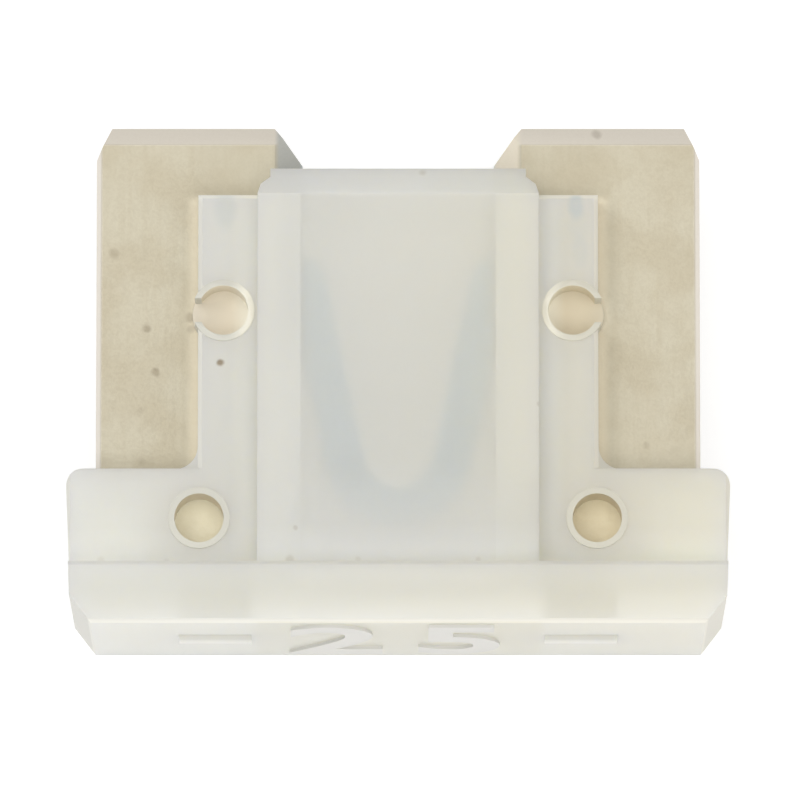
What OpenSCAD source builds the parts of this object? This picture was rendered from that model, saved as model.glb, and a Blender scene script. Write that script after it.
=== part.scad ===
// Low-profile mini blade fuse, at rest on its broad side.
// A one-piece translucent moulding holds a one-piece stamped element: two flat
// blades joined across a hollow chamber by a thin V-shaped fuse link.
// X runs across the blades, Y from the head's end face to the blade tips and
// Z through the thickness. The part is the same on both broad sides.
// The origin is on the resting side, under the middle of the part.

/* [Overall] */
// From the head's end face to the blade tips
overall_h = 8.5; // [8.3:0.05:9.5]
// Width across the head, its widest place
head_w = 10.9; // [10.5:0.05:12]
// Thickness of the head's rim, the thickest place
rim_t = 3.81; // [3.4:0.01:4.4]

/* [Head] */
// Height of the thick rim, from the end face
rim_h = 1.03; // [0.8:0.01:1.2]
// Height of the whole head, from the end face to the edge that the blades leave
head_h = 2.68; // [2.4:0.01:3]
// Thickness across the head's plates and the flanks
plate_t = 2.1; // [1.8:0.01:2.5]
// How far each side of the head leans in towards the end face
head_draft = 0.08; // [0.02:0.01:0.15]
// Length across the head of the chamfer at each corner of the end face
end_chamfer_x = 0.35; // [0.1:0.01:0.45]
// Length up the head of the same chamfer
end_chamfer_y = 0.46; // [0.2:0.01:0.6]
// Radius of the head's two shoulders, beside the blades
shoulder_r = 0.28; // [0.1:0.01:0.4]
// Chamfer along the rim's long edges
rim_edge = 0.07; // [0.04:0.01:0.2]

/* [Column and flanks] */
// Width of the central column
column_w = 4.62; // [4.3:0.01:4.9]
// Thickness of the column
column_t = 3; // [2.8:0.01:3.3]
// From the end face to the column's end
column_h = 7.64; // [7:0.01:7.9]
// Length of the tapered lead-in at the column's end
lead_in_h = 0.45; // [0.35:0.01:0.6]
// How far the lead-in narrows each side of the column, up to the step
lead_in_x = 0.05; // [0.02:0.01:0.12]
// How far the lead-in thins each face of the column
lead_in_z = 0.22; // [0.1:0.01:0.3]
// Width of the bevelled step in each side of the lead-in
lead_step_x = 0.16; // [0.05:0.01:0.25]
// Length of that bevel
lead_step_y = 0.13; // [0.05:0.01:0.15]
// Length of the narrow end past the step
lead_end_h = 0.15; // [0.05:0.01:0.18]
// From the column's end down to the flanks' ends
flank_drop = 0.39; // [0.3:0.01:0.6]
// Width across both flanks
flank_w = 6.58; // [6.2:0.01:7]
// Fillet between a flank and the head's edge
flank_fillet_r = 0.38; // [0.2:0.01:0.6]
// Chamfer along the outer edges of the plates and flanks
plate_edge = 0.07; // [0.03:0.01:0.12]

/* [Chamber] */
// Width of the hollow chamber round the link
chamber_w = 3.2; // [3:0.01:3.5]
// Wall of plastic in front of the chamber
chamber_wall = 0.4; // [0.3:0.01:0.55]
// Height of the chamber's floor above the end face
chamber_floor_h = 0.95; // [0.7:0.01:1.1]
// Height of the low lip inside the chamber's mouth
mouth_lip = 0.12; // [0.05:0.01:0.2]

/* [Holes and windows] */
// Diameter of the open hole over each blade's root
root_hole_d = 0.81; // [0.6:0.01:0.95]
// Width of the raised lip round each hole and each stake dimple
lip_w = 0.1; // [0.06:0.01:0.14]
// Height of that lip
lip_h = 0.04; // [0.02:0.01:0.08]
// Diameter of each stake dimple
stake_d = 0.82; // [0.6:0.01:0.95]
// From the flanks' ends down to the stake dimples
stake_drop = 1.94; // [1.5:0.01:2.3]
// From the flank's side in to the middle of each stake dimple
stake_inset = 0.415; // [0.4:0.005:0.45]
// Width of the mouth through which each stake dimple opens at the flank's side
stake_mouth_w = 0.4; // [0.2:0.01:0.5]
// Skin of plastic left at the bottom of a stake dimple
stake_skin = 0.12; // [0.08:0.01:0.2]
// Diameter of the plastic pressed into the blade at a stake
stake_plug_d = 0.5; // [0.35:0.01:0.55]
// Depth of the pit in the blade that takes the pressed plastic
stake_pit = 0.12; // [0.08:0.01:0.16]
// Width of each test window in the end face
window_w = 1.2; // [0.9:0.01:1.4]
// Thickness of each test window
window_t = 1; // [0.9:0.01:1.3]
// From the root's inner edge to the test window's inner edge
window_inset = 0.08; // [0.04:0.01:0.2]

/* [Element] */
// From the outer edge of one blade to that of the other
blade_span = 9.96; // [9.6:0.01:10.1]
// Width of a blade's full-thickness part
blade_w = 2.94; // [2.8:0.01:3.1]
// Thickness of the blades
blade_t = 0.8; // [0.7:0.01:0.9]
// Thickness of the thin strip that the link is cut from
web_t = 0.3; // [0.2:0.01:0.4]
// Width of the slope from a blade down to the thin strip
web_slope_w = 0.46; // [0.3:0.01:0.5]
// Gap between the metal and the plastic, all round
fit_gap = 0.03; // [0.02:0.005:0.05]
// Chamfer along the blades' outer edges
blade_edge = 0.09; // [0.04:0.01:0.14]
// Length of the coined bevel at each blade's tip
tip_bevel_h = 0.3; // [0.2:0.01:0.4]
// Thickness left at the very tip
tip_t = 0.46; // [0.4:0.01:0.6]
// Width of the corner cut at a tip's outer side
tip_outer_x = 0.25; // [0.15:0.01:0.4]
// Length of the corner cut at a tip's outer side
tip_outer_y = 0.55; // [0.4:0.01:0.7]
// Length of the corner cut at a tip's inner side, which spans the slope
tip_inner_y = 0.62; // [0.4:0.01:0.7]
// How deep the blades' shoulders sit in the head's edge
shoulder_seat = 0.12; // [0.06:0.01:0.2]
// Width of a blade's root, inside the head
root_w = 1.87; // [1.7:0.01:2]
// From a blade's outer edge to its root's outer edge
root_inset = 0.78; // [0.65:0.01:0.9]
// Height of the roots' ends above the head's end face
root_end_h = 1.08; // [0.9:0.01:1.2]
// Radius of a root's outer corner
root_r = 0.5; // [0.2:0.01:0.6]

/* [Fuse link] */
// Width of the link
link_w = 0.62; // [0.4:0.01:0.7]
// Radius of the link's bend, to the middle of its width
link_r = 0.88; // [0.75:0.01:0.95]
// How far each leg leans outwards, in degrees
link_lean = 12; // [10:0.5:14]
// Height of the bend's lowest place above the end face
link_bend_h = 1.87; // [1.6:0.01:2.2]
// Height of the legs' upper ends above the end face
link_top_h = 6.35; // [6.1:0.01:6.6]
// Radius of each leg's upper corner
link_corner_r = 0.42; // [0.3:0.01:0.5]
// Height of the slit's end between a leg and its blade
slit_end_h = 4.75; // [4.5:0.01:5.1]
// Radius at the end of that slit
slit_r = 0.19; // [0.1:0.01:0.2]

/* [Hidden] */
$fn = 64;
// A length by which a cut runs past the face that it opens
past = 0.5;
// Steps of a short arc in an outline
arc_steps = 16;

// Head and housing
head_end_x = head_w / 2 - head_draft;
lead_in_y = column_h - lead_in_h;
flank_h = column_h - flank_drop;
flank_x = flank_w / 2;
chamber_t = column_t - 2 * chamber_wall;
slot_t = blade_t + 2 * fit_gap;
seat_h = head_h - shoulder_seat;
hole_y = (rim_h + head_h) / 2;
stake_x = flank_x - stake_inset;
stake_y = flank_h - stake_drop;

// Element
blade_out = blade_span / 2;
blade_in = blade_out - blade_w;
web_in = blade_in - web_slope_w;
root_out = blade_out - root_inset;
root_in = root_out - root_w;
root_x = (root_in + root_out) / 2;
window_x = root_in + window_inset + window_w / 2;

// Link: radii of the bend's two edges, the height of its centre, and the place
// of each leg's upper corner, which touches the leg's inner edge and its top
link_in_r = link_r - link_w / 2;
link_out_r = link_r + link_w / 2;
link_cy = link_bend_h + link_out_r;
corner_y = link_top_h - link_corner_r;
corner_x = (link_in_r + link_corner_r + (corner_y - link_cy) * sin(link_lean)) / cos(link_lean);

// Sets the part down on its broad side, over the origin
module at_rest() translate([0, -overall_h / 2, rim_t / 2]) children();

// Draws the children on both sides of the middle, left and right
module both_sides() {
    children();
    mirror([1, 0, 0]) children();
}

// Draws the children on both broad faces
module both_faces() {
    children();
    mirror([0, 0, 1]) children();
}

// A plan outline as a slab of thickness t about the middle plane
module slab(t) linear_extrude(height = t, center = true) children();

// A section in Y and Z, drawn as X and Y, run across the part over width w
module run_across(w) rotate([90, 0, 90]) linear_extrude(height = w, center = true) children();

// A section in X and Z, drawn as X and Y, run up the part from y0 to y1
module run_up(y0, y1) translate([0, y1, 0]) rotate([90, 0, 0]) linear_extrude(height = y1 - y0) children();

// What rounding takes off a square corner: the arc's centre is at the origin
module corner_waste(r) difference() {
    square(r + past);
    circle(r);
}

// What a fillet adds in an inner corner at the origin
module fillet_web(r) difference() {
    translate([-past / 2, -past / 2]) square(r + past / 2);
    translate([r, r]) circle(r);
}

// A section t thick and w wide, with its four corners chamfered by c
module chamfered_section(w, t, c) polygon([
    [-w / 2, -t / 2 + c], [-w / 2 + c, -t / 2], [w / 2 - c, -t / 2], [w / 2, -t / 2 + c],
    [w / 2, t / 2 - c], [w / 2 - c, t / 2], [-w / 2 + c, t / 2], [-w / 2, t / 2 - c]
]);

// The head in plan: drafted sides, chamfered end corners and round shoulders
module head_plan() difference() {
    polygon([
        [-head_end_x + end_chamfer_x, 0], [head_end_x - end_chamfer_x, 0],
        [head_end_x, end_chamfer_y], [head_w / 2, head_h - shoulder_r],
        [head_w / 2, head_h], [-head_w / 2, head_h],
        [-head_w / 2, head_h - shoulder_r], [-head_end_x, end_chamfer_y]
    ]);
    both_sides() translate([head_w / 2 - shoulder_r, head_h - shoulder_r]) corner_waste(shoulder_r);
}

// The thick rim at the head's end, its long edges chamfered
module rim() intersection() {
    slab(rim_t) head_plan();
    run_across(head_w + past) translate([rim_h / 2, 0]) chamfered_section(rim_h, rim_t, rim_edge);
}

// The two plates of the head and the flanks, as one slab with chamfered edges
module plates() union() {
    intersection() {
        slab(plate_t) head_plan();
        run_up(0, head_h) chamfered_section(head_w, plate_t, plate_edge);
    }
    intersection() {
        slab(plate_t) translate([-flank_x, rim_h / 2]) square([flank_w, flank_h - rim_h / 2]);
        run_up(rim_h / 2, flank_h) chamfered_section(flank_w, plate_t, plate_edge);
        run_across(flank_w) translate([flank_h / 2, 0]) chamfered_section(flank_h, plate_t, plate_edge);
    }
    slab(plate_t - 2 * plate_edge) both_sides() translate([flank_x, head_h]) fillet_web(flank_fillet_r);
}

// Right-hand side of the column in plan: straight, then narrowing to a bevelled step
column_side = [
    [column_w / 2, rim_h / 2], [column_w / 2, lead_in_y],
    [column_w / 2 - lead_in_x, column_h - lead_end_h - lead_step_y],
    [column_w / 2 - lead_in_x - lead_step_x, column_h - lead_end_h],
    [column_w / 2 - lead_in_x - lead_step_x, column_h]
];

// The central column, with its tapered lead-in
module column() intersection() {
    slab(column_t) both_sides() polygon(concat(column_side, [[0, column_h], [0, rim_h / 2]]));
    run_across(column_w) polygon([
        [rim_h / 2, -column_t / 2], [lead_in_y, -column_t / 2], [column_h, -column_t / 2 + lead_in_z],
        [column_h, column_t / 2 - lead_in_z], [lead_in_y, column_t / 2], [rim_h / 2, column_t / 2]
    ]);
}

// The space that a blade's root takes in the head, with its clearance
module root_pocket() slab(slot_t) difference() {
    translate([root_in - fit_gap, root_end_h - fit_gap])
        square([root_w + 2 * fit_gap, seat_h - root_end_h + past / 2]);
    translate([root_out - root_r, root_end_h + root_r])
        rotate(-90) corner_waste(root_r + fit_gap);
}

// All that is open in the moulding between its front and back walls
module inner_space() {
    // Slot for the blades, open at the sides above the head
    translate([-blade_out - fit_gap, seat_h - fit_gap, -slot_t / 2])
        cube([blade_span + 2 * fit_gap, column_h - seat_h + past, slot_t]);
    translate([-head_w / 2, head_h, -slot_t / 2])
        cube([head_w, column_h - head_h + past, slot_t]);
    // Chamber round the link, a little shallower at its mouth
    translate([-chamber_w / 2, chamber_floor_h, -chamber_t / 2])
        cube([chamber_w, lead_in_y - chamber_floor_h, chamber_t]);
    translate([-chamber_w / 2, lead_in_y - past, -chamber_t / 2 + mouth_lip])
        cube([chamber_w, lead_in_h + 2 * past, chamber_t - 2 * mouth_lip]);
    both_sides() {
        root_pocket();
        // Test window, from the end face to the root's end
        translate([window_x - window_w / 2, -past, -window_t / 2])
            cube([window_w, root_end_h + past, window_t]);
    }
}

// Raised lips round the open holes and the stake dimples, on both faces. At a
// dimple the lip is the plastic that staking squeezes out past the flank's side
module lips() both_faces() both_sides() {
    translate([root_x, hole_y, 0])
        cylinder(d = root_hole_d + 2 * lip_w, h = plate_t / 2 + lip_h);
    translate([stake_x, stake_y, 0])
        cylinder(d = stake_d + 2 * lip_w, h = plate_t / 2 + lip_h);
}

// Open holes through both plates, down to the blade's root
module root_holes() both_sides()
    translate([root_x, hole_y, 0])
        cylinder(d = root_hole_d, h = rim_t, center = true);

// Stake dimples, each with a mouth at the flank's side, down to their skins
module stake_dimples() both_faces() both_sides() translate([stake_x, stake_y, slot_t / 2 + stake_skin]) {
    cylinder(d = stake_d, h = plate_t);
    translate([0, -stake_mouth_w / 2, 0]) cube([stake_inset + past, stake_mouth_w, plate_t]);
}

// The plastic pushed from the dimples' skins into the blade's pits
module stake_plugs() both_faces() both_sides()
    translate([stake_x, stake_y, blade_t / 2 - stake_pit + fit_gap])
        cylinder(d = stake_plug_d, h = stake_pit + stake_skin);

// One-piece moulding
module housing() color([0.89, 0.88, 0.82, 0.7]) at_rest() union() {
    difference() {
        union() {
            rim();
            plates();
            column();
            lips();
        }
        inner_space();
        root_holes();
        stake_dimples();
    }
    stake_plugs();
}

// Right-hand blade in plan, with its root
module blade_plan() difference() {
    polygon([
        [root_in, root_end_h], [root_out, root_end_h], [root_out, seat_h], [blade_out, seat_h],
        [blade_out, overall_h - tip_outer_y], [blade_out - tip_outer_x, overall_h],
        [blade_in, overall_h], [web_in, overall_h - tip_inner_y], [web_in, slit_end_h],
        [blade_in, slit_end_h], [blade_in, seat_h], [root_in, seat_h]
    ]);
    translate([root_out - root_r, root_end_h + root_r]) rotate(-90) corner_waste(root_r);
}

// Points along an arc about c, from angle a0 to a1
function arc(c, r, a0, a1) = [
    for (i = [0:arc_steps]) let (a = a0 + (a1 - a0) * i / arc_steps) c + r * [cos(a), sin(a)]
];

// Right-hand half of the link's outline: out along the bend and the leg's outer
// edge, round its shoulder in the blade, and back down the inner edge
link_half = concat(
    arc([0, link_cy], link_out_r, -90, -link_lean),
    [
        [(link_out_r + (slit_end_h - link_cy) * sin(link_lean)) / cos(link_lean), slit_end_h],
        [blade_in, slit_end_h], [blade_in, link_top_h]
    ],
    arc([corner_x, corner_y], link_corner_r, 90, 180 - link_lean),
    arc([0, link_cy], link_in_r, -link_lean, -90)
);

// The whole link in plan, with its two shoulders
module link_plan() polygon(concat(
    link_half,
    [for (i = [len(link_half) - 2:-1:1]) [-link_half[i][0], link_half[i][1]]]
));

// Thickness of the strip across its width: blades, slopes and thin middle
module strip_section() polygon([
    [-blade_out, -blade_t / 2 + blade_edge], [-blade_out + blade_edge, -blade_t / 2],
    [-blade_in, -blade_t / 2], [-web_in, -web_t / 2], [web_in, -web_t / 2], [blade_in, -blade_t / 2],
    [blade_out - blade_edge, -blade_t / 2], [blade_out, -blade_t / 2 + blade_edge],
    [blade_out, blade_t / 2 - blade_edge], [blade_out - blade_edge, blade_t / 2],
    [blade_in, blade_t / 2], [web_in, web_t / 2], [-web_in, web_t / 2], [-blade_in, blade_t / 2],
    [-blade_out + blade_edge, blade_t / 2], [-blade_out, blade_t / 2 - blade_edge]
]);

// Thickness of the strip along its length: thinner over the coined tips
module tip_section() polygon([
    [0, -blade_t / 2], [overall_h - tip_bevel_h, -blade_t / 2], [overall_h, -tip_t / 2],
    [overall_h, tip_t / 2], [overall_h - tip_bevel_h, blade_t / 2], [0, blade_t / 2]
]);

// One-piece stamping
module fuse_element() color([0.83, 0.79, 0.7]) at_rest() difference() {
    intersection() {
        slab(blade_t) difference() {
            union() {
                both_sides() blade_plan();
                link_plan();
            }
            both_sides() translate([blade_in - slit_r, slit_end_h]) circle(slit_r);
        }
        run_up(0, overall_h) strip_section();
        run_across(blade_span + past) tip_section();
    }
    // Pits that take the plastic pressed in at the stakes
    both_faces() both_sides() translate([stake_x, stake_y, blade_t / 2 - stake_pit])
        cylinder(d = stake_plug_d + 2 * fit_gap, h = blade_t);
}

housing();
fuse_element();
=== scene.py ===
import math

import bpy
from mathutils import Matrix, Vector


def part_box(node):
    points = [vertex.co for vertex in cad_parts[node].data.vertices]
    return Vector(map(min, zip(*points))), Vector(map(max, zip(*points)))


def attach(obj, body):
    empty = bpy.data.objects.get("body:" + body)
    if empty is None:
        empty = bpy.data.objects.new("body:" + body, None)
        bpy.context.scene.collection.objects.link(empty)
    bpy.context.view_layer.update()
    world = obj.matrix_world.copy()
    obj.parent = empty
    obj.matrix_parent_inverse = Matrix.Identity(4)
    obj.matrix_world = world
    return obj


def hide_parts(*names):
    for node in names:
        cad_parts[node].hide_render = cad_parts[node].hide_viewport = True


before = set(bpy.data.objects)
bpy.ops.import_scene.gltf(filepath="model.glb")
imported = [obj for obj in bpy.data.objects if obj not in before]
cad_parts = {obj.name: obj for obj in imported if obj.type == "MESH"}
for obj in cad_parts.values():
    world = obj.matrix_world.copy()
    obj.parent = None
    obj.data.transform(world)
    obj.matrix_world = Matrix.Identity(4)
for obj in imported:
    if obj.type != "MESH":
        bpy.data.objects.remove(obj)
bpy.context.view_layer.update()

# Camera: it looks down on the fuse lying on its broad side, from nine degrees towards the head's end, as the
# photograph does. A long lens far back keeps the perspective as weak as it is there.
mm = 0.001
view_tilt = math.radians(9.36)
view_distance = 200 * mm
view_rise = -0.256 * mm
view_centre = (0.031 * mm, view_rise * math.cos(view_tilt), 1.905 * mm + view_rise * math.sin(view_tilt))
bpy.ops.object.camera_add(
    location=(
        view_centre[0],
        view_centre[1] - view_distance * math.sin(view_tilt),
        view_centre[2] + view_distance * math.cos(view_tilt),
    ),
    rotation=(view_tilt, 0, 0),
)
camera = bpy.context.object
camera.name = "camera"
camera.data.sensor_width = 36
camera.data.lens = 545
camera.data.clip_start = 1 * mm
camera.data.clip_end = 10
bpy.context.scene.camera = camera


# Table and light: a white table under one broad softbox, with a smaller one from the upper left, a weak warm
# one from the right and a low one in front, as in a light tent. The tent is plain white to the camera, apart
# from the fuse's shadow.
def node(tree, kind, sockets=None, **settings):
    """Adds a shader node, sets it up and fills its sockets, each from a value or another node's output."""
    made = tree.nodes.new(kind)
    for name, value in settings.items():
        setattr(made, name, value)
    for name, value in (sockets or {}).items():
        if isinstance(value, bpy.types.NodeSocket):
            tree.links.new(value, made.inputs[name])
        else:
            made.inputs[name].default_value = value
    return made


def math_node(tree, operation, first, second):
    """The result of one sum on two values or outputs."""
    return node(tree, "ShaderNodeMath", {0: first, 1: second}, operation=operation).outputs[0]


def seen_directly(tree):
    """1 for rays from the camera, off gloss or through glass, which see plain white, and 0 for others."""
    path = node(tree, "ShaderNodeLightPath").outputs
    mirrored = math_node(tree, "MAXIMUM", path["Is Glossy Ray"], path["Is Transmission Ray"])
    return math_node(tree, "MAXIMUM", path["Is Camera Ray"], mirrored)


table_white = (0.9, 0.9, 0.9, 1)
table_glow = 0.72
table_share = 0.5
bpy.ops.mesh.primitive_circle_add(vertices=96, radius=120 * mm, fill_type="NGON", location=(0, 0, 0))
table = bpy.context.object
table.name = "table"
table_material = bpy.data.materials.new("table_white")
table_material.use_nodes = True
tree = table_material.node_tree
tree.nodes.clear()
paper = node(tree, "ShaderNodeBsdfDiffuse", {"Color": table_white})
glow = node(tree, "ShaderNodeEmission", {"Color": (1, 1, 1, 1), "Strength": table_glow / table_share})
lit = node(tree, "ShaderNodeMixShader", {0: table_share, 1: paper.outputs[0], 2: glow.outputs[0]})
shown = node(tree, "ShaderNodeMixShader", {0: seen_directly(tree), 1: paper.outputs[0], 2: lit.outputs[0]})
node(tree, "ShaderNodeOutputMaterial", {"Surface": shown.outputs[0]})
table.data.materials.append(table_material)

room_light = 0.3
world = bpy.data.worlds.new("room")
bpy.context.scene.world = world
world.use_nodes = True
tree = world.node_tree
tree.nodes.clear()
room_strength = node(
    tree, "ShaderNodeMapRange", {"Value": seen_directly(tree), "To Min": room_light, "To Max": 1.0}
).outputs[0]
room = node(tree, "ShaderNodeBackground", {"Color": (1, 1, 1, 1), "Strength": room_strength})
node(tree, "ShaderNodeOutputWorld", {"Surface": room.outputs[0]})


def softbox(name, place, side, watts, colour):
    """A square lamp at a place, turned to the fuse."""
    bpy.ops.object.light_add(type="AREA", location=place)
    lamp = bpy.context.object
    lamp.name = name
    lamp.rotation_euler = (-lamp.location).to_track_quat("-Z", "Y").to_euler()
    lamp.data.size = side
    lamp.data.energy = watts
    lamp.data.color = colour


softbox("top_light", (-0.02, -0.06, 0.42), 0.42, 0.98, (1.0, 0.995, 0.985))
softbox("key_light", (-0.26, 0.17, 0.36), 0.25, 0.4, (1.0, 0.995, 0.985))
softbox("right_light", (0.32, -0.05, 0.24), 0.25, 0.16, (1.0, 0.94, 0.84))
softbox("front_light", (0.05, -0.42, 0.1), 0.2, 0.55, (1.0, 0.99, 0.97))


# Fuse element: one stamping from zinc alloy strip, rolled thin down its middle, where the link is cut and the
# bare zinc shows blue-grey. The thick blades carry a tin plating, duller and specked where it is open to the
# air, and their tips are coined. The moulding's plastic, pressed into pits in the blades, holds it. Painted
# highlights lighten the blades' edges and tips, painted light lightens the tin beside the flanks and, in
# part, the tin under the resin, and the web's slopes carry painted shade on the left and painted light on the
# right.
def at(x, y, z):
    """A place given in millimetres from the middle line, the head's end face and the middle plane."""
    low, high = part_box("housing")
    return (x * mm, low.y + y * mm, (low.z + high.z) / 2 + z * mm)


def up(height):
    """The Y of a height in millimetres above the head's end face."""
    return at(0, height, 0)[1]


weld_reach = 0.0002 * mm
sliver_reach = 0.001 * mm
flat_angle = math.radians(0.6)
round_angle = math.radians(25)
crease_angle = math.radians(40)


def copy_of(node_name, piece_name, edge, shortest):
    """A copy of a CAD node with its flat faces made whole and its sharp edges over a length rounded."""
    bpy.ops.object.select_all(action="DESELECT")
    piece = bpy.data.objects.new(piece_name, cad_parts[node_name].data.copy())
    bpy.context.scene.collection.objects.link(piece)
    piece.select_set(True)
    bpy.context.view_layer.objects.active = piece
    piece.data.materials.clear()
    bpy.ops.object.mode_set(mode="EDIT")
    bpy.ops.mesh.select_all(action="SELECT")
    bpy.ops.mesh.remove_doubles(threshold=weld_reach)
    bpy.ops.mesh.dissolve_limited(angle_limit=flat_angle)
    bpy.ops.mesh.select_mode(type="EDGE")
    bpy.ops.mesh.select_all(action="DESELECT")
    bpy.ops.mesh.edges_select_sharp(sharpness=round_angle)
    bpy.ops.object.mode_set(mode="OBJECT")
    for line in piece.data.edges:
        start, end = (piece.data.vertices[index].co for index in line.vertices)
        if (end - start).length < shortest:
            line.select = False
    bpy.ops.object.mode_set(mode="EDIT")
    bpy.ops.mesh.bevel(offset=edge, segments=2, clamp_overlap=True)
    bpy.ops.mesh.select_mode(type="VERT")
    bpy.ops.object.mode_set(mode="OBJECT")
    return piece


def finish_copy(piece, node_name):
    """Takes slivers out of a copy, shades its rounded edges smooth and puts it in its CAD node's place."""
    bpy.ops.object.select_all(action="DESELECT")
    piece.select_set(True)
    bpy.context.view_layer.objects.active = piece
    bpy.ops.object.mode_set(mode="EDIT")
    bpy.ops.mesh.select_all(action="SELECT")
    bpy.ops.mesh.remove_doubles(threshold=sliver_reach)
    bpy.ops.mesh.dissolve_degenerate(threshold=sliver_reach)
    bpy.ops.mesh.faces_shade_smooth()
    bpy.ops.mesh.select_mode(type="EDGE")
    bpy.ops.mesh.mark_sharp(clear=True)
    bpy.ops.mesh.select_all(action="DESELECT")
    bpy.ops.mesh.edges_select_sharp(sharpness=crease_angle)
    bpy.ops.mesh.mark_sharp()
    bpy.ops.mesh.select_mode(type="VERT")
    bpy.ops.object.mode_set(mode="OBJECT")
    evening = piece.modifiers.new("evening", "WEIGHTED_NORMAL")
    evening.keep_sharp = True
    bpy.ops.object.modifier_apply(modifier="evening")
    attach(piece, "root")
    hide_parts(node_name)


def new_material(name):
    """An empty material and its node tree."""
    material = bpy.data.materials.new(name)
    material.use_nodes = True
    material.node_tree.nodes.clear()
    return material, material.node_tree


def place_on(tree):
    """A point's place in the part's own frame."""
    return node(tree, "ShaderNodeTexCoord").outputs["Object"]


def noise(tree, place, scale, detail=3.0, rough=0.5):
    """Grey noise of a scale given in blobs a millimetre."""
    return node(
        tree, "ShaderNodeTexNoise",
        {"Vector": place, "Scale": scale / mm, "Detail": detail, "Roughness": rough},
    ).outputs["Fac"]


def ramp(tree, value, low, high, to_low=0.0, to_high=1.0):
    """A value taken smoothly from one range to another, and held inside it."""
    return node(
        tree, "ShaderNodeMapRange",
        {"Value": value, "From Min": low, "From Max": high, "To Min": to_low, "To Max": to_high},
        interpolation_type="SMOOTHSTEP",
    ).outputs[0]


def blend(tree, share, first, second):
    """A colour between two others."""
    return node(
        tree, "ShaderNodeMix", {"Factor": share, 6: first, 7: second}, data_type="RGBA"
    ).outputs[2]


def ragged(tree, place, scale, shift):
    """A place pushed to and fro by noise, so that what is drawn on it gets an uneven edge."""
    push = node(
        tree, "ShaderNodeTexNoise", {"Vector": place, "Scale": scale / mm, "Detail": 2.0}
    ).outputs["Color"]
    centred = node(
        tree, "ShaderNodeVectorMath", {0: push, 1: (0.5, 0.5, 0.5)}, operation="SUBTRACT"
    ).outputs[0]
    scaled = node(
        tree, "ShaderNodeVectorMath", {0: centred, "Scale": shift * mm}, operation="SCALE"
    ).outputs[0]
    return node(tree, "ShaderNodeVectorMath", {0: place, 1: scaled}, operation="ADD").outputs[0]


mark_core = 0.3


def stained(tree, place, colour, stain, marks, stretch=1.0):
    """A colour with marks on it, each a place (x, y, z), a radius and a strength, drawn out along Y."""
    squeezed = node(tree, "ShaderNodeMapping", {"Vector": place, "Scale": (1, 1 / stretch, 1)}).outputs[0]
    for x, y, z, radius, strength in marks:
        centre_x, centre_y, centre_z = at(x, y, z)
        reach = node(
            tree, "ShaderNodeVectorMath", {0: squeezed, 1: (centre_x, centre_y / stretch, centre_z)},
            operation="DISTANCE",
        ).outputs["Value"]
        share = ramp(tree, reach, mark_core * radius * mm, radius * mm, strength, 0)
        colour = blend(tree, share, colour, stain)
    return colour


tin_open = (0.57, 0.525, 0.405, 1)
tin_open_shade = (0.525, 0.472, 0.35, 1)
tin_painted_light_beside_flank = (0.79, 0.715, 0.55, 1)
tin_covered_painted_light_left = (0.83, 0.79, 0.62, 1)
tin_covered_painted_light_right = (0.79, 0.72, 0.53, 1)
zinc_slope_painted_shade = (0.475, 0.48, 0.45, 1)
zinc_slope_painted_light = (0.78, 0.72, 0.6, 1)
zinc_bend = (0.5, 0.66, 0.83, 1)
zinc_leg = (0.62, 0.78, 0.92, 1)
edge_painted_highlight = (0.85, 0.8, 0.72, 1)
tip_painted_highlight = (0.71, 0.66, 0.575, 1)
blade_face_z = 0.4
flank_side, flank_end = 3.24, 7.25
head_edge = 2.68
cover_fade = 0.08
painted_light_side_zone = (3.3, 3.55)
painted_light_end_zone = (7.2, 7.4)
leg_zone = (0.95, 1.35)
link_zone = (1.45, 1.65)
slope_zone = (1.95, 2.06)
edge_zone = (4.87, 4.93)
tip_zone = (8.17, 8.23)
metal_share = 0.3
metal_roughness = (0.55, 0.68)
metal_grain = 0.004 * mm
element_rounding = 0.02 * mm
element_shortest = 0.12 * mm
speck_colour = (0.2, 0.15, 0.09, 1)
specks = [
    (-4.15, 5.13, blade_face_z, 0.1, 0.4), (-3.98, 4.39, blade_face_z, 0.1, 0.45),
    (-4.69, 6.37, blade_face_z, 0.12, 0.25), (-4.24, 3.77, blade_face_z, 0.09, 0.15),
    (-4.23, 2.9, blade_face_z, 0.1, 0.15), (4.08, 3.15, blade_face_z, 0.09, 0.2),
    (3.29, 8.4, blade_face_z - 0.1, 0.12, 0.3), (-3.43, 5.3, blade_face_z, 0.12, 0.35),
    (-3.42, 5.1, blade_face_z, 0.1, 0.25), (-3.17, 6.83, blade_face_z, 0.12, 0.6),
]

element = copy_of("fuse_element", "stamped_element", element_rounding, element_shortest)
metal, tree = new_material("tinned_zinc_strip")
place = place_on(tree)
spread = node(tree, "ShaderNodeSeparateXYZ", {0: place}).outputs
out = node(tree, "ShaderNodeMath", {0: spread["X"]}, operation="ABSOLUTE").outputs[0]
past_flank = ramp(tree, out, flank_side * mm, (flank_side + cover_fade) * mm)
past_end = ramp(tree, spread["Y"], up(flank_end), up(flank_end + cover_fade))
past_head = ramp(tree, spread["Y"], up(head_edge), up(head_edge + cover_fade))
exposed = math_node(tree, "MULTIPLY", math_node(tree, "MAXIMUM", past_flank, past_end), past_head)
drawn_out = node(tree, "ShaderNodeMapping", {"Vector": place, "Scale": (1, 0.06, 1)}).outputs[0]
rolling = noise(tree, drawn_out, 9, 2)
blotches = noise(tree, place, 1.2, 4)
tin = blend(tree, ramp(tree, blotches, 0.35, 0.65), tin_open, tin_open_shade)
tin = blend(tree, ramp(tree, rolling, 0.45, 0.75, 0, 0.4), tin, tin_open_shade)
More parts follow.
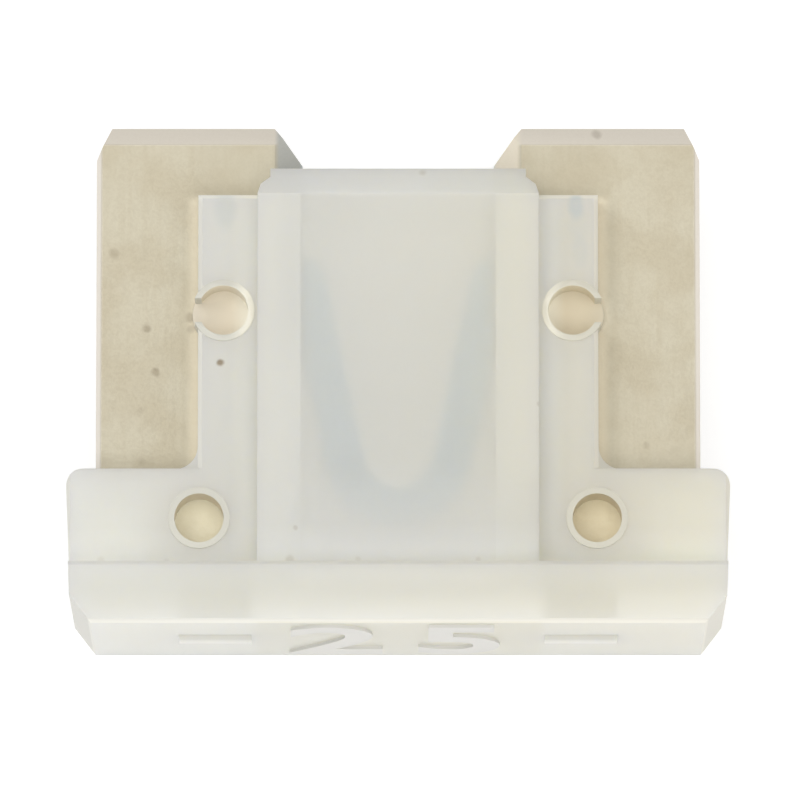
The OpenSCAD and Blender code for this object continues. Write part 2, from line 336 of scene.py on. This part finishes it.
# Painted light on the open tin just beside the flanks, where their shade falls
beside_flank = ramp(tree, out, painted_light_side_zone[0] * mm, painted_light_side_zone[1] * mm, 1, 0)
along_flank = ramp(tree, spread["Y"], up(painted_light_end_zone[0]), up(painted_light_end_zone[1]), 1, 0)
tin = blend(tree, math_node(tree, "MULTIPLY", beside_flank, along_flank), tin, tin_painted_light_beside_flank)
# The tin under the resin, seen through it and in the holes: lighter than the open tin, partly its plating
# kept bright under the resin and partly painted light that fills the holes, and lighter and cooler on the
# left as painted side light
tin_covered_painted_light = blend(tree, ramp(tree, spread["X"], -mm, mm), tin_covered_painted_light_left, tin_covered_painted_light_right)
tin = blend(tree, exposed, tin_covered_painted_light, tin)
# Painted highlights on the blades' edge chamfers and tip bevels
on_edge = ramp(tree, out, edge_zone[0] * mm, edge_zone[1] * mm)
on_tip = ramp(tree, spread["Y"], up(tip_zone[0]), up(tip_zone[1]))
tin = blend(tree, on_edge, tin, edge_painted_highlight)
tin = blend(tree, on_tip, tin, tip_painted_highlight)
worn_edge = ragged(tree, place, 3, 0.1)
tin = stained(tree, worn_edge, tin, speck_colour, specks)
# The web's slopes: the left one painted dark grey as painted shade, the right one light tan as painted light
zinc_slope_light_and_shade = blend(tree, ramp(tree, spread["X"], -mm, mm), zinc_slope_painted_shade, zinc_slope_painted_light)
zinc = blend(tree, ramp(tree, out, leg_zone[0] * mm, leg_zone[1] * mm), zinc_bend, zinc_leg)
zinc = blend(tree, ramp(tree, out, link_zone[0] * mm, link_zone[1] * mm), zinc, zinc_slope_light_and_shade)
surface = blend(tree, ramp(tree, out, slope_zone[0] * mm, slope_zone[1] * mm), zinc, tin)
grain = noise(tree, place, 25, 2)
bumps = node(
    tree, "ShaderNodeBump",
    {"Strength": 0.25, "Distance": metal_grain, "Height": math_node(tree, "ADD", rolling, grain)},
)
shader = node(
    tree, "ShaderNodeBsdfPrincipled",
    {
        "Base Color": surface, "Metallic": metal_share,
        "Roughness": ramp(tree, grain, 0.3, 0.7, *metal_roughness), "Normal": bumps.outputs[0],
    },
)
node(tree, "ShaderNodeOutputMaterial", {"Surface": shader.outputs[0]})
element.data.materials.append(metal)
finish_copy(element, "fuse_element")


# Housing: one injection moulding in a milky, unpigmented resin with a satin gloss, pressed onto the blades at
# its dimples. Light passes its walls but scatters in them, so the metal inside shows through softly. Plain
# numbers stand a little proud of its end face. Its colours carry painted side light, cooler and lighter on
# the left and yellower and a little darker on the right, and painted light and shade along its length;
# painted light also lightens its chamfers, its test windows' walls and its flanks at the column's foot.
resin_left = (0.93, 0.93, 0.863, 1)
resin_right = (0.945, 0.905, 0.76, 1)
resin_frosted = (0.99, 0.99, 0.985, 1)
skin_left = (0.91, 0.83, 0.68, 1)
skin_right = (0.85, 0.76, 0.57, 1)
edge_left = (0.78, 0.77, 0.69, 1)
edge_right = (0.77, 0.74, 0.62, 1)
# Painted light on the chamfers and on the head's cut corners
chamfer_painted_light_left = (0.96, 0.95, 0.88, 1)
chamfer_painted_light_right = (0.96, 0.92, 0.8, 1)
# Painted light on the test windows' walls, which lie in shade
window_painted_light_left = (1.0, 1.0, 0.95, 1)
window_painted_light_right = (1.0, 0.98, 0.9, 1)
wall_left = (0.915, 0.91, 0.84, 1)
wall_right = (0.915, 0.875, 0.735, 1)
dark_mark_colour = (0.3, 0.22, 0.13, 1)
flank_face_z = 1.05
column_face_z = 1.5
# Dark marks: the first four are dirt, the last five darken the plates and column along the foot of the rim's
# step
dark_marks = [
    (-2.92, 4.44, flank_face_z, 0.09, 0.9), (2.31, 3.68, column_face_z, 0.06, 0.25),
    (-1.68, 1.62, column_face_z, 0.06, 0.25), (0.4, 7.59, column_face_z - 0.15, 0.1, 0.3),
    (-4.88, 1.15, flank_face_z, 0.09, 0.12), (-3.79, 1.12, flank_face_z, 0.08, 0.1),
    (-1.77, 1.1, column_face_z, 0.1, 0.2), (-0.66, 1.1, column_face_z, 0.07, 0.12),
    (1.31, 1.1, column_face_z, 0.07, 0.15),
]
smear_colour = (0.66, 0.72, 0.71, 1)
smears = [
    (2.93, 7.06, flank_face_z, 0.18, 0.75), (2.95, 6.75, flank_face_z, 0.24, 0.2),
    (2.99, 6.3, flank_face_z, 0.2, 0.25), (-2.85, 7.0, flank_face_z, 0.26, 0.4),
]
smear_stretch = 1.8
even_tone = 0.926
# Painted light and shade along the length, each stop a height above the end face and a tone: the end face and
# the rim darker, the rim's rounded edge, the faces just past the rim's step and the lintel's slope lighter
painted_light_and_shade_tones = [
    (-0.05, 0.81), (0.004, 0.81), (0.012, 0.97), (0.03, 0.97), (0.06, 0.81), (0.5, 0.825), (1.0, 0.9),
    (1.04, 1.0), (1.3, 1.0), (1.7, even_tone), (7.15, even_tone), (7.2, 1.0), (7.5, 1.0), (7.65, 0.92),
]
painted_side_light_span = (-4.2, 5.7)
painted_side_light_drift = 1.5
painted_side_light_zone = (0.9, 2.9)
painted_side_light_least = 0.5
# Painted light on the flanks beside the column's foot, where the column's shade falls
painted_foot_light = (1.0, 0.97, 0.845, 1)
painted_foot_zone = (2.45, 2.8)
plate_top = 1.2
rim_end = 1.02
end_middle_tone = (0.96, 0.95, 0.915, 1)
end_middle_zone = (2.2, 2.5)
end_face_reach = 0.025
resin_ripple = 0.005 * mm
resin_index = 1.5
scatter_radius = (1.0, 0.95, 0.8)
scatter_scale = 1.2 * mm
inside_roughness = (0.06, 0.12)
housing_rounding = 0.03 * mm
housing_shortest = 0.15 * mm

housing = copy_of("housing", "moulded_housing", housing_rounding, housing_shortest)


def tone_along(tree, value, stops):
    """A grey tone that runs through stops, each a height above the end face in millimetres and a tone."""
    low, high = stops[0][0], stops[-1][0]
    ends = {"Value": value, "From Min": up(low), "From Max": up(high)}
    scale = node(tree, "ShaderNodeValToRGB", {"Fac": node(tree, "ShaderNodeMapRange", ends).outputs[0]})
    elements = scale.color_ramp.elements
    for height, tone in stops[1:-1]:
        elements.new((height - low) / (high - low))
    for element, (height, tone) in zip(elements, stops):
        element.color = (tone, tone, tone, 1)
    return scale.outputs["Color"]


def toned(tree, share, colour, tone):
    """A colour multiplied by a tone, by a share of it."""
    return node(
        tree, "ShaderNodeMix", {"Factor": share, 6: colour, 7: tone}, data_type="RGBA", blend_type="MULTIPLY"
    ).outputs[2]


def resin(name, transmission, scattering, roughness, left, right):
    """The milky resin between two tints, with how much light passes its surface or scatters below it."""
    material, tree = new_material(name)
    place = place_on(tree)
    spread = node(tree, "ShaderNodeSeparateXYZ", {0: place}).outputs
    # Painted side light: each tint runs from its left colour to its right one across the part, less so at the
    # head
    cloud = noise(tree, place, 0.5, 3)
    side = math_node(tree, "ADD", spread["X"], math_node(tree, "MULTIPLY", cloud, painted_side_light_drift * mm))
    across = ramp(tree, side, painted_side_light_span[0] * mm, painted_side_light_span[1] * mm)
    along = ramp(tree, spread["Y"], up(painted_side_light_zone[0]), up(painted_side_light_zone[1]), painted_side_light_least, 1)
    tint = blend(tree, math_node(tree, "MULTIPLY", across, along), left, right)
    # Painted light and shade along the length
    tint = toned(tree, 1.0, tint, tone_along(tree, spread["Y"], painted_light_and_shade_tones))
    out = node(tree, "ShaderNodeMath", {0: spread["X"]}, operation="ABSOLUTE").outputs[0]
    middle = math_node(tree, "SUBTRACT", spread["Z"], at(0, 0, 0)[2])
    height = node(tree, "ShaderNodeMath", {0: middle}, operation="ABSOLUTE").outputs[0]
    on_plate = math_node(tree, "LESS_THAN", height, plate_top * mm)
    # Painted light on the flanks at the column's foot
    at_foot = ramp(tree, out, painted_foot_zone[0] * mm, painted_foot_zone[1] * mm, 1, 0)
    past_rim = math_node(tree, "GREATER_THAN", spread["Y"], up(rim_end))
    painted_foot_share = math_node(tree, "MULTIPLY", math_node(tree, "MULTIPLY", at_foot, on_plate), past_rim)
    tint = blend(tree, painted_foot_share, tint, painted_foot_light)
    on_end = math_node(tree, "LESS_THAN", spread["Y"], up(end_face_reach))
    at_middle = ramp(tree, out, end_middle_zone[0] * mm, end_middle_zone[1] * mm, 1, 0)
    tint = toned(tree, math_node(tree, "MULTIPLY", on_end, at_middle), tint, end_middle_tone)
    worn = ragged(tree, place, 4, 0.06)
    tint = stained(tree, worn, tint, smear_colour, smears, smear_stretch)
    tint = stained(tree, worn, tint, dark_mark_colour, dark_marks)
    ripple = noise(tree, place, 4, 2)
    bumps = node(tree, "ShaderNodeBump", {"Strength": 0.2, "Distance": resin_ripple, "Height": ripple})
    shader = node(
        tree, "ShaderNodeBsdfPrincipled",
        {
            "Base Color": tint, "Roughness": roughness, "IOR": resin_index,
            "Transmission Weight": transmission, "Subsurface Weight": scattering,
            "Subsurface Radius": scatter_radius, "Subsurface Scale": scatter_scale,
            "Normal": bumps.outputs[0],
        },
    )
    node(tree, "ShaderNodeOutputMaterial", {"Surface": shader.outputs[0]})
    return material


def clear_resin(name):
    """The resin's inner faces, which only bend and blur what is seen through them."""
    material, tree = new_material(name)
    haze = noise(tree, place_on(tree), 6, 2)
    shader = node(
        tree, "ShaderNodeBsdfPrincipled",
        {
            "Base Color": (1, 1, 1, 1), "Roughness": ramp(tree, haze, 0.3, 0.7, *inside_roughness),
            "IOR": resin_index, "Transmission Weight": 1.0,
        },
    )
    node(tree, "ShaderNodeOutputMaterial", {"Surface": shader.outputs[0]})
    return material


# Raised numbers on the end face, each with its middle's place across the head and its width
number_height = 3.0
number_rise = 0.15
number_proud = 0.05
number_weld = 0.0005 * mm
numbers = [("2", -1.03, 1.54), ("5", 1.005, 1.34)]
for digit, middle, width in numbers:
    bpy.ops.object.select_all(action="DESELECT")
    bpy.ops.object.text_add(location=(0, 0, 0))
    number = bpy.context.object
    number.data.body = digit
    number.data.extrude = 0.5
    number.data.offset = 0.02
    number.data.resolution_u = 6
    bpy.ops.object.convert(target="MESH")
    number = bpy.context.object
    bpy.ops.object.origin_set(type="ORIGIN_GEOMETRY", center="BOUNDS")
    number.dimensions = (width * mm, number_height * mm, 2 * number_proud * mm)
    number.rotation_euler = (math.radians(90), 0, 0)
    number.location = at(middle, 0, number_rise)
    bpy.ops.object.transform_apply(location=True, rotation=True, scale=True)
    bpy.ops.object.mode_set(mode="EDIT")
    bpy.ops.mesh.select_all(action="SELECT")
    bpy.ops.mesh.remove_doubles(threshold=number_weld)
    bpy.ops.mesh.normals_make_consistent(inside=False)
    bpy.ops.object.mode_set(mode="OBJECT")
    bpy.ops.object.select_all(action="DESELECT")
    bpy.context.view_layer.objects.active = housing
    joining = housing.modifiers.new("joining", "BOOLEAN")
    joining.operation = "UNION"
    joining.solver = "EXACT"
    joining.object = number
    bpy.ops.object.modifier_apply(modifier="joining")
    bpy.data.objects.remove(number)

# Where each kind of face lies: half widths, half depths and heights above the end face, in millimetres
chamber_side, chamber_depth, chamber_floor, chamber_mouth = 1.62, 1.12, 0.93, 7.63
slot_depth, slot_floor = 0.45, 1.0
hole_places, pit_radius, lip_radius = [(2.875, 5.31), (3.265, 1.855)], 0.45, 0.56
pit_floor_radius, pit_floor_height = 0.4, 0.56
chamfer_slopes = (0.5, 0.87)
corner_side, corner_height = 5.04, 0.44
number_side, number_face = 1.9, -0.005
window_sides, window_depth, window_floor = (2.35, 3.7), 0.55, 0.99
wall_side, wall_face = 1.6, 1.4
wall_end = 7.19
column_side, rim_top, level = 2.35, 0.9, 0.99

# The wall over the chamber in bands, each with its start and how much light passes it: less near its foot
band_start, band_height, band_count = 0.95, 0.2, 9
least_passed, more_passed = 0.16, 0.036
wall_bands = [
    (band_start + band_height * step, least_passed + more_passed * step) for step in range(band_count)
]
origin = at(0, 0, 0)


def offset_of(point):
    """Millimetres from the middle line, above the end face and from the middle plane to a point."""
    x, y, z = ((point[axis] - origin[axis]) / mm for axis in range(3))
    return abs(x), y, abs(z)


# Cuts in the column's faces, along the chamber's outline and between the bands, part the wall from the resin
# beside it
cuts = [(at(side, 0, 0), (1, 0, 0)) for side in (-wall_side, wall_side)]
cuts += [(at(0, end, 0), (0, 1, 0)) for end in [start for start, passed in wall_bands] + [wall_end]]
bpy.ops.object.select_all(action="DESELECT")
bpy.context.view_layer.objects.active = housing
housing.select_set(True)
for cut_place, cut_normal in cuts:
    bpy.ops.object.mode_set(mode="EDIT")
    bpy.ops.mesh.select_mode(type="FACE")
    bpy.ops.mesh.select_all(action="DESELECT")
    bpy.ops.object.mode_set(mode="OBJECT")
    for face in housing.data.polygons:
        x, y, z = offset_of(face.center)
        broad = z > wall_face and abs(face.normal.z) > level
        face.select = x < column_side and rim_top < y < wall_end and broad
    bpy.ops.object.mode_set(mode="EDIT")
    bpy.ops.mesh.bisect(plane_co=cut_place, plane_no=cut_normal)
    bpy.ops.object.mode_set(mode="OBJECT")

milky, inside, skin, frosted, lip, sloped, window_wall, first_wall = range(8)
wall_roughness = 0.29
finishes = [
    resin("milky_resin", 0.25, 1.0, 0.34, resin_left, resin_right),
    clear_resin("milky_resin_inside"),
    resin("milky_resin_skin", 0.1, 0.0, 0.5, skin_left, skin_right),
    resin("milky_resin_frosted", 0.05, 0.0, 0.6, resin_frosted, resin_frosted),
    resin("milky_resin_edge", 0.05, 0.0, 0.5, edge_left, edge_right),
    resin("milky_resin_chamfer_painted_light", 0.05, 0.0, 0.5, chamfer_painted_light_left, chamfer_painted_light_right),
    resin("milky_resin_window_painted_light", 0.0, 1.0, 0.4, window_painted_light_left, window_painted_light_right),
]
for count, (start, passed) in enumerate(wall_bands):
    name = "milky_resin_wall_" + str(count)
    finishes.append(resin(name, passed, 1.0, wall_roughness, wall_left, wall_right))
for finish in finishes:
    housing.data.materials.append(finish)

for face in housing.data.polygons:
    x, y, z = offset_of(face.center)
    corners = [offset_of(housing.data.vertices[index].co)[:2] for index in face.vertices]
    from_hole = min(max(math.dist(corner, hole) for corner in corners) for hole in hole_places)
    pit_floor = math.dist((x, y), hole_places[0]) < pit_floor_radius and z < pit_floor_height
    chamber = x < chamber_side and z < chamber_depth and chamber_floor < y < chamber_mouth
    slot = z < slot_depth and slot_floor < y < chamber_mouth
    on_number = x < number_side and y < number_face
    slope = chamfer_slopes[0] < abs(face.normal.z) < chamfer_slopes[1]
    corner_cut = x > corner_side and y < corner_height
    window = window_sides[0] < x < window_sides[1] and z < window_depth and y < window_floor
    wall = x < wall_side and z > wall_face and band_start < y < wall_end
    passed_bands = sum(y > start for start, passed in wall_bands)
    kinds = [
        (wall, first_wall + passed_bands - 1),
        (from_hole < pit_radius or pit_floor, skin),
        (chamber or slot, inside),
        (on_number, frosted),
        (from_hole < lip_radius, lip),
        (slope or corner_cut, sloped),
        (window, window_wall),
    ]
    face.material_index = next((kind for is_so, kind in kinds if is_so), milky)
finish_copy(housing, "housing")

# Display: colours are shown as they are, with no film look.
bpy.context.scene.view_settings.view_transform = "Standard"
